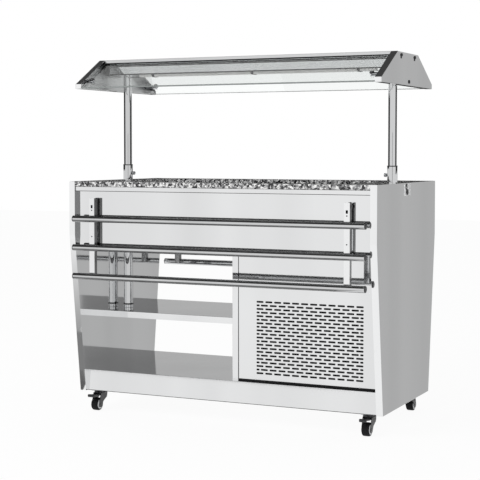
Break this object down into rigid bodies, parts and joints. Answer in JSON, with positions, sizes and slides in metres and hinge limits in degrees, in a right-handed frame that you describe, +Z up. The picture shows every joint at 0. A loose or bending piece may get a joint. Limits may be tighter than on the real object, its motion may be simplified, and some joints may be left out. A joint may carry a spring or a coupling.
{
  "type": "mobile salad bar",
  "caption": "Refrigerated salad bar on casters with a stone worktop round a cold well, open shelf bay, glazed canopy on telescopic posts and folding tubular tray slides.",
  "frame": {"origin": "on the floor under the middle of the cabinet", "axes": "+X to the right seen from the front, +Y towards the rear, +Z up; the front with the slotted grille faces -Y"},
  "size_m": [1.2545, 0.769, 1.3781],
  "materials": {
    "mirror_steel": "polished",
    "chrome_tube": "polished",
    "granite": "polished",
    "foam": "matte",
    "copper": "satin",
    "zinc_steel": "satin",
    "black_enamel": "gloss",
    "aluminium_fins": "satin",
    "black_plastic": "satin",
    "grey_plastic": "satin",
    "grey_rubber": "matte",
    "lamp_diffuser": "satin",
    "clear_glass": "polished"
  },
  "bodies": {
    "cabinet": {"left_side_panel": "mirror_steel", "right_side_panel": "mirror_steel", "side_liners": "mirror_steel", "front_fascia": "mirror_steel", "rear_fascia": "mirror_steel", "well_box_floor": "mirror_steel", "worktop": "granite", "worktop_frame": "mirror_steel", "cold_well": "mirror_steel", "well_insulation": "foam", "cooling_coil": "copper", "deck": "mirror_steel", "front_plinth": "mirror_steel", "rear_plinth": "mirror_steel", "caster_channels": "zinc_steel", "caster_plates": "zinc_steel", "mid_shelf": "mirror_steel", "divider_panel": "mirror_steel", "grille_panel": "mirror_steel", "rear_service_panel": "mirror_steel", "compressor": "black_enamel", "condenser": "aluminium_fins", "fan_shroud": "zinc_steel", "refrigerant_lines": "copper", "switch_plate": "black_plastic", "power_gland": "black_plastic", "left_guide_tube": "chrome_tube", "right_guide_tube": "chrome_tube", "guide_rings": "black_plastic", "tray_brackets": "zinc_steel", "tray_pivot_pins": "zinc_steel"},
    "canopy": {"left_canopy_cap": "mirror_steel", "right_canopy_cap": "mirror_steel", "canopy_top_cover": "mirror_steel", "lamp_housing": "mirror_steel", "lamp_bar": "lamp_diffuser", "lamp_clips": "black_plastic", "front_glass": "clear_glass", "rear_glass": "clear_glass", "glass_clamps": "chrome_tube", "left_post": "chrome_tube", "right_post": "chrome_tube"},
    "front_tray": {"front_tray_tubes": "chrome_tube", "front_tray_arms": "mirror_steel"},
    "rear_tray": {"rear_tray_tubes": "chrome_tube", "rear_tray_arms": "mirror_steel"},
    "front_left_caster": {"front_left_fork": "grey_plastic"},
    "front_left_wheel": {"front_left_wheel": "grey_rubber"},
    "front_right_caster": {"front_right_fork": "grey_plastic"},
    "front_right_wheel": {"front_right_wheel": "grey_rubber"},
    "rear_left_caster": {"rear_left_fork": "grey_plastic"},
    "rear_left_wheel": {"rear_left_wheel": "grey_rubber"},
    "rear_right_caster": {"rear_right_fork": "grey_plastic"},
    "rear_right_wheel": {"rear_right_wheel": "grey_rubber"},
    "front_left_pedal": {"front_left_brake_pedal": "black_plastic"},
    "front_right_pedal": {"front_right_brake_pedal": "black_plastic"},
    "left_screw": {"left_thumb_screw": "black_plastic"},
    "right_screw": {"right_thumb_screw": "black_plastic"},
    "fan": {"fan_blade": "black_plastic"},
    "rocker": {"switch_rocker": "black_plastic"}
  },
  "joints": [
    {"name": "canopy_lift", "type": "slide", "parent": "cabinet", "child": "canopy", "axis": [0, 0, 1], "range_m": [-0.28, 0]},
    {"name": "front_tray_fold", "type": "hinge", "parent": "cabinet", "child": "front_tray", "pos_m": [0, -0.346, 0.823], "axis": [-1, 0, 0], "range_deg": [0, 90]},
    {"name": "rear_tray_fold", "type": "hinge", "parent": "cabinet", "child": "rear_tray", "pos_m": [0, 0.346, 0.823], "axis": [1, 0, 0], "range_deg": [0, 90]},
    {"name": "front_left_swivel", "type": "hinge", "parent": "cabinet", "child": "front_left_caster", "pos_m": [-0.56, -0.232, 0.07], "axis": [0, 0, 1], "continuous": true},
    {"name": "front_left_roll", "type": "hinge", "parent": "front_left_caster", "child": "front_left_wheel", "pos_m": [-0.56, -0.258, 0.025], "axis": [1, 0, 0], "continuous": true},
    {"name": "front_right_swivel", "type": "hinge", "parent": "cabinet", "child": "front_right_caster", "pos_m": [0.56, -0.232, 0.07], "axis": [0, 0, 1], "continuous": true},
    {"name": "front_right_roll", "type": "hinge", "parent": "front_right_caster", "child": "front_right_wheel", "pos_m": [0.56, -0.258, 0.025], "axis": [1, 0, 0], "continuous": true},
    {"name": "rear_left_swivel", "type": "hinge", "parent": "cabinet", "child": "rear_left_caster", "pos_m": [-0.56, 0.232, 0.07], "axis": [0, 0, 1], "continuous": true},
    {"name": "rear_left_roll", "type": "hinge", "parent": "rear_left_caster", "child": "rear_left_wheel", "pos_m": [-0.56, 0.258, 0.025], "axis": [1, 0, 0], "continuous": true},
    {"name": "rear_right_swivel", "type": "hinge", "parent": "cabinet", "child": "rear_right_caster", "pos_m": [0.56, 0.232, 0.07], "axis": [0, 0, 1], "continuous": true},
    {"name": "rear_right_roll", "type": "hinge", "parent": "rear_right_caster", "child": "rear_right_wheel", "pos_m": [0.56, 0.258, 0.025], "axis": [1, 0, 0], "continuous": true},
    {"name": "front_left_brake", "type": "hinge", "parent": "front_left_caster", "child": "front_left_pedal", "pos_m": [-0.56, -0.254, 0.06], "axis": [1, 0, 0], "range_deg": [0, 10]},
    {"name": "front_right_brake", "type": "hinge", "parent": "front_right_caster", "child": "front_right_pedal", "pos_m": [0.56, -0.254, 0.06], "axis": [1, 0, 0], "range_deg": [0, 10]},
    {"name": "left_screw_turn", "type": "hinge", "parent": "cabinet", "child": "left_screw", "pos_m": [-0.541, 0, 0.928], "axis": [1, 0, 0], "range_deg": [-180, 180]},
    {"name": "right_screw_turn", "type": "hinge", "parent": "cabinet", "child": "right_screw", "pos_m": [0.541, 0, 0.928], "axis": [-1, 0, 0], "range_deg": [-180, 180]},
    {"name": "fan_spin", "type": "hinge", "parent": "cabinet", "child": "fan", "pos_m": [0.25, -0.118, 0.3], "axis": [0, 1, 0], "continuous": true},
    {"name": "rocker_tilt", "type": "hinge", "parent": "cabinet", "child": "rocker", "pos_m": [0.622, -0.024, 0.886], "axis": [0, 1, 0], "range_deg": [0, 20]}
  ]
}
